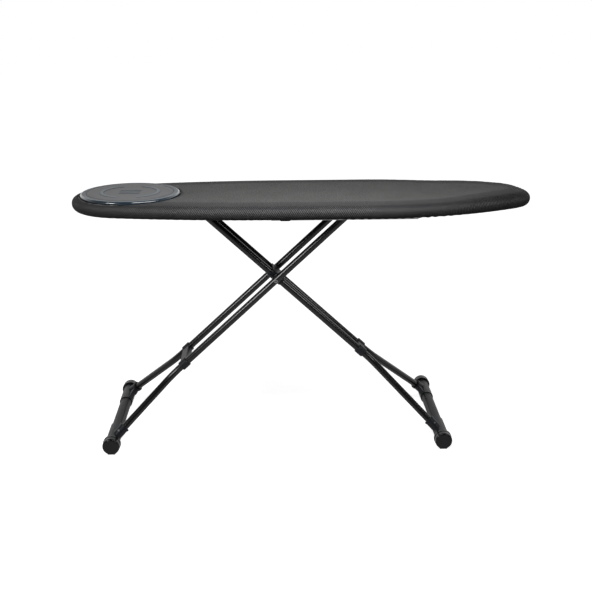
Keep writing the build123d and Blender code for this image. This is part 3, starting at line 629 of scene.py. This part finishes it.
def twill(name, dark, light, rib, relief, painted_edge_light):
    """Woven twill on the cut cloth's own coordinates: slanted ribs, each broken into yarn floats, with
    painted shade and a painted highlight band over the edge and a painted shadow round the iron rest.
    """
    made, tree, shader = material(name)
    cut = add_node(tree, "UVMap", uv_map="cut_cloth").outputs["UV"]
    axes = add_node(tree, "SeparateXYZ", {0: cut}).outputs
    rib_slope, float_slope = 0.6, -1.7
    wander = reckon(tree, "MULTIPLY", noise_of(tree, cut, 160.0), 2.2)

    def wave_across(slope, sway):
        """Nought to one and back for each rib, on lines that cross the cloth at a slope."""
        crossing = reckon(tree, "ADD", axes["X"], reckon(tree, "MULTIPLY", axes["Y"], slope))
        turn = reckon(tree, "MULTIPLY", crossing, 2 * pi / rib)
        return reckon(tree, "MULTIPLY_ADD", reckon(tree, "SINE", reckon(tree, "ADD", turn, sway)), 0.5, 0.5)

    ribs = wave_across(rib_slope, wander)
    floats = wave_across(float_slope, 0.0)
    height = reckon(tree, "MULTIPLY", ribs, reckon(tree, "MULTIPLY_ADD", floats, 0.5, 0.5))
    # slubs: single floats that catch more or less of the light, and slow changes of shade
    slubs = noise_of(tree, cut, 210.0, detail=3.0, roughness=0.65)
    cloudy = noise_of(tree, cut, 14.0, detail=4.0)
    yarn = reckon(tree, "MULTIPLY", height, reckon(tree, "MULTIPLY_ADD", slubs, 2.4, -0.35))
    tone = reckon(
        tree, "ADD", reckon(tree, "MULTIPLY", yarn, 0.9), reckon(tree, "MULTIPLY", cloudy, 0.22)
    )
    woven = shade_ramp(tree, tone, ((0.06, (*dark, 1)), (0.95, (*light, 1))))["Color"]
    # painted shade over the edge: the cloth is made darker over the shoulder, lighter in a painted highlight
    # band round the rim, and darker again below it
    reach = add_node(tree, "Attribute", attribute_name="over_edge").outputs["Fac"]
    edge_painting = shade_ramp(tree, reckon(tree, "MULTIPLY", reach, 10.0), painted_edge_light)["Color"]
    edge_painted_weave = blend(tree, 1.0, woven, edge_painting, way="MULTIPLY")
    # a painted shadow darkens the cloth in the pressed rim of the seat round the iron rest
    seat = add_node(tree, "Attribute", attribute_name="seat_painted_shadow").outputs["Fac"]
    seat_shadowed = blend(tree, reckon(tree, "MULTIPLY", seat, 0.85), edge_painted_weave, (0.008, 0.009, 0.012, 1))
    inputs = {
        "Base Color": seat_shadowed,
        "Roughness": 0.86,
        "Specular IOR Level": 0.12,
        "Sheen Weight": 0.04,
        "Sheen Roughness": 0.4,
        "Normal": bumped(tree, height, 0.6, relief),
    }
    fill(tree, shader, inputs)
    return made


# painted shade and painted highlight on the way over the edge, as shares of the first decimetre of cloth
painted_edge_shading = (
    (0.0, (1, 1, 1, 1)),
    (0.04, (0.84, 0.84, 0.86, 1)),
    (0.10, (0.66, 0.66, 0.68, 1)),
    (0.30, (0.55, 0.55, 0.57, 1)),
    (0.47, (0.48, 0.48, 0.50, 1)),
    (0.545, (0.37, 0.37, 0.39, 1)),
    (0.59, (0.36, 0.355, 0.38, 1)),
    (0.635, (0.58, 0.575, 0.60, 1)),
    (0.685, (0.64, 0.635, 0.66, 1)),
    (0.74, (0.44, 0.44, 0.45, 1)),
    (0.81, (0.32, 0.32, 0.32, 1)),
    (1.0, (0.45, 0.45, 0.44, 1)),
)
cover_cloth = twill(
    "cover_twill",
    dark=(0.018, 0.018, 0.018),
    light=(0.190, 0.1885, 0.185),
    rib=0.0052,
    relief=0.0009,
    painted_edge_light=painted_edge_shading,
)
cover.data.materials.append(cover_cloth)
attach(cover, "board")
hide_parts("cover")

# ---- hem drawcord --------------------------------------------------------------------------
# A thin undyed braid that runs inside the hem all round the board and pulls the cover tight
# under the rim.
braid = coat("drawcord_braid", (0.52, 0.51, 0.48), 0.8, 0.2, 900, 0.0003, mottle=0.15)
finish_with(braid, "hem_drawcord")

# ---- hem casing ----------------------------------------------------------------------------
# The edge of the same twill, turned over the drawcord and stitched into a thin round casing.
# The pulled cord puckers it.
casing_radius = 0.0031
casing_center = cover_base + cloth / 2
casing_sides = 8
lift, push = 0.0009, 0.0007
# the casing takes the painted shade of the cloth a decimetre over the edge
casing_run = 0.1
form = bmesh.new()
loops = []
for i in range(casing_sides):
    turn = i * 2 * pi / casing_sides
    inset = hem_width - casing_radius * cos(turn)
    height = casing_center + casing_radius * sin(turn)
    loops.append(edge_loop(form, inset, height, step=0.006))
for one, two in zip(loops, loops[1:] + loops[:1]):
    bmesh.ops.bridge_loops(form, edges=one + two)
for vertex in form.verts:
    depth, outward = edge_depth(vertex.co.x, vertex.co.y)
    wave = gathers(vertex.co.x, vertex.co.y, outward)
    vertex.co.z += lift * wave
    vertex.co += outward * push * wave
weave = form.loops.layers.uv.new("cut_cloth")
over_edge = form.verts.layers.float.new("over_edge")
for vertex in form.verts:
    vertex[over_edge] = casing_run
    for corner in vertex.link_loops:
        corner[weave].uv = (vertex.co.x, vertex.co.y + vertex.co.z)
bmesh.ops.recalc_face_normals(form, faces=form.faces)
casing = object_from(form, "hem_casing")
smooth(casing.data)
casing.data.materials.append(cover_cloth)
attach(casing, "board")

# ---- iron rest pad -------------------------------------------------------------------------
# A round moulded silicone pad for a hot iron, with a glossy rolled rim, a groove inside it, a
# raised ring in two halves and three ribs. It lies in the cover's padding near the tail.
pad_place = Vector((pad_middle, 0, 0))
pad_base = pad_low.z
relief = 0.001
pad_top = pad_high.z - relief
rim_top, rim_bottom = 0.0050, 0.0030
top_steps, bottom_steps = 12, 8
groove_radius, groove_depth = 0.1165, 0.0012
profile = [(0, pad_base)]
for i in range(bottom_steps + 1):
    turn = i * pi / 2 / bottom_steps
    profile.append((pad_radius - rim_bottom * (1 - sin(turn)), pad_base + rim_bottom * (1 - cos(turn))))
for i in range(top_steps + 1):
    turn = i * pi / 2 / top_steps
    profile.append((pad_radius - rim_top * (1 - cos(turn)), pad_top - rim_top * (1 - sin(turn))))
groove_wall = ((0.0024, 0), (0.0015, groove_depth / 3), (0.0009, groove_depth))
profile += [(groove_radius + aside, pad_top - down) for aside, down in groove_wall]
profile += [(groove_radius - aside, pad_top - down) for aside, down in reversed(groove_wall)]
profile += [(radius, pad_top) for radius in (0.10, 0.05, 0)]
form = bmesh.new()
verts = [form.verts.new((pad_place.x + radius, 0, height)) for radius, height in profile]
edges = [form.edges.new(pair) for pair in zip(verts, verts[1:])]
bmesh.ops.spin(
    form, geom=verts + edges, cent=pad_place, axis=(0, 0, 1), angle=2 * pi, steps=192, use_merge=True
)
bmesh.ops.remove_doubles(form, verts=form.verts, dist=1e-6)

# the ring's two halves: a rounded bar's section spun part of the way round
ring, band, gap = 0.076, 0.011, 0.34
sunk, wall, shoulder = -0.0006, relief * 0.4, 0.0012
section = [(-band / 2, sunk), (-band / 2, wall), (-band / 2 + shoulder, relief)]
section += [(-across, height) for across, height in reversed(section)]
for facing in (0, pi):
    verts = [form.verts.new((pad_place.x + ring + across, 0, pad_top + height)) for across, height in section]
    face = form.faces.new(verts)
    turned = Matrix.Rotation(facing - pi / 2 + gap, 3, "Z")
    bmesh.ops.rotate(form, verts=verts, cent=pad_place, matrix=turned)
    outline = [face] + verts + list(face.edges)
    bmesh.ops.spin(form, geom=outline, cent=pad_place, axis=(0, 0, 1), angle=pi - 2 * gap, steps=48)

# three ribs across the middle
rib_length, rib_width, rib_pitch = 0.058, 0.006, 0.020
rib_end_radius = 0.0029
for row in (-1, 0, 1):
    made = bmesh.ops.create_cube(form, size=1.0)["verts"]
    bmesh.ops.scale(form, vec=(rib_length, rib_width, 2 * relief), verts=made)
    bmesh.ops.translate(form, vec=(pad_place.x, row * rib_pitch, pad_top), verts=made)
    rib_edges = dict.fromkeys(edge for v in made for edge in v.link_edges)
    upright = [edge for edge in rib_edges if abs(edge.verts[0].co.z - edge.verts[1].co.z) > relief]
    bmesh.ops.bevel(
        form, geom=upright, offset=rib_end_radius, segments=6, profile=0.5, affect="EDGES", material=-1
    )
bmesh.ops.recalc_face_normals(form, faces=form.faces)
pad = object_from(form, "iron_rest")
smooth(pad.data)
pad.data.set_sharp_from_angle(angle=radians(40))

silicone, tree, shader = material("pad_silicone")
local = add_node(tree, "TexCoord").outputs["Object"]
centered = add_node(tree, "Mapping", {"Vector": local, "Location": (-pad_place.x, 0, 0)}).outputs["Vector"]
level = add_node(tree, "VectorMath", {0: centered, 1: (1, 1, 0)}, operation="MULTIPLY").outputs["Vector"]
reach = add_node(tree, "VectorMath", {0: level}, operation="LENGTH").outputs["Value"]
radius_share = reckon(tree, "DIVIDE", reach, pad_radius)
# matt grey as far as the groove, a dark ring of painted shade in the groove, lighter beyond it, and
# blue-black on the rolled rim
colour = shade_ramp(
    tree,
    radius_share,
    (
        (0.0, (0.118, 0.119, 0.124, 1)),
        (0.858, (0.118, 0.119, 0.124, 1)),
        (0.868, (0.040, 0.046, 0.054, 1)),
        (0.882, (0.040, 0.046, 0.054, 1)),
        (0.892, (0.135, 0.148, 0.158, 1)),
        (0.950, (0.115, 0.132, 0.146, 1)),
        (0.970, (0.014, 0.030, 0.048, 1)),
        (1.0, (0.008, 0.018, 0.030, 1)),
    ),
)
# painted highlight on the tops of the raised ring halves and ribs, and a dark line of painted shade where
# they meet the pad
ring_painted_light = shade_ramp(
    tree,
    radius_share,
    (
        (0.0, (0, 0, 0, 0)),
        (0.515, (0.05, 0.06, 0.07, 0)),
        (0.523, (0.035, 0.045, 0.055, 1)),
        (0.532, (0.035, 0.045, 0.055, 1)),
        (0.541, (0.15, 0.178, 0.195, 1)),
        (0.598, (0.15, 0.178, 0.195, 1)),
        (0.609, (0.07, 0.085, 0.10, 1)),
        (0.620, (0.07, 0.085, 0.10, 0)),
        (1.0, (0, 0, 0, 0)),
    ),
)
ring_start, rows_reach = 0.0245, 0.0235
rib_highlight_width, line_middle, line_reach = 0.0032, 0.0038, 0.0009
spot = add_node(tree, "SeparateXYZ", {0: level}).outputs
sideways = reckon(tree, "ABSOLUTE", spot["X"])
on_ring = reckon(tree, "MULTIPLY", ring_painted_light["Alpha"], reckon(tree, "GREATER_THAN", sideways, ring_start))
ringed = blend(tree, on_ring, colour["Color"], ring_painted_light["Color"])
# how far a place lies from the middle of the nearest rib; five pitches more keep it above nought
from_rib = reckon(tree, "PINGPONG", reckon(tree, "ADD", spot["Y"], 5 * rib_pitch), rib_pitch / 2)
in_length = reckon(tree, "LESS_THAN", sideways, rib_length / 2)
in_rows = reckon(tree, "LESS_THAN", reckon(tree, "ABSOLUTE", spot["Y"]), rows_reach)
on_rib = reckon(tree, "MULTIPLY", in_length, in_rows)
# painted highlight along each rib's top and painted shade along its foot
rib_painted_highlight = reckon(tree, "MULTIPLY", on_rib, reckon(tree, "LESS_THAN", from_rib, rib_highlight_width))
rib_painted_shade = reckon(tree, "MULTIPLY", on_rib, reckon(tree, "COMPARE", from_rib, line_middle, line_reach))
ribbed = blend(tree, rib_painted_highlight, ringed, (0.135, 0.158, 0.175, 1))
lined = blend(tree, rib_painted_shade, ribbed, (0.05, 0.06, 0.072, 1))
grain = noise_of(tree, local, 900.0)
inputs = {
    "Base Color": lined,
    "Roughness": rescaled(tree, radius_share, 0.95, 0.985, 0.55, 0.22),
    "Specular IOR Level": 0.5,
    "Coat Weight": rescaled(tree, radius_share, 0.955, 0.975, 0.0, 0.75),
    "Coat Roughness": 0.12,
    "Coat IOR": 1.7,
    "Normal": bumped(tree, grain, 0.15, 0.0002),
}
fill(tree, shader, inputs)
pad.data.materials.append(silicone)
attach(pad, "board")
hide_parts("iron_rest_pad")
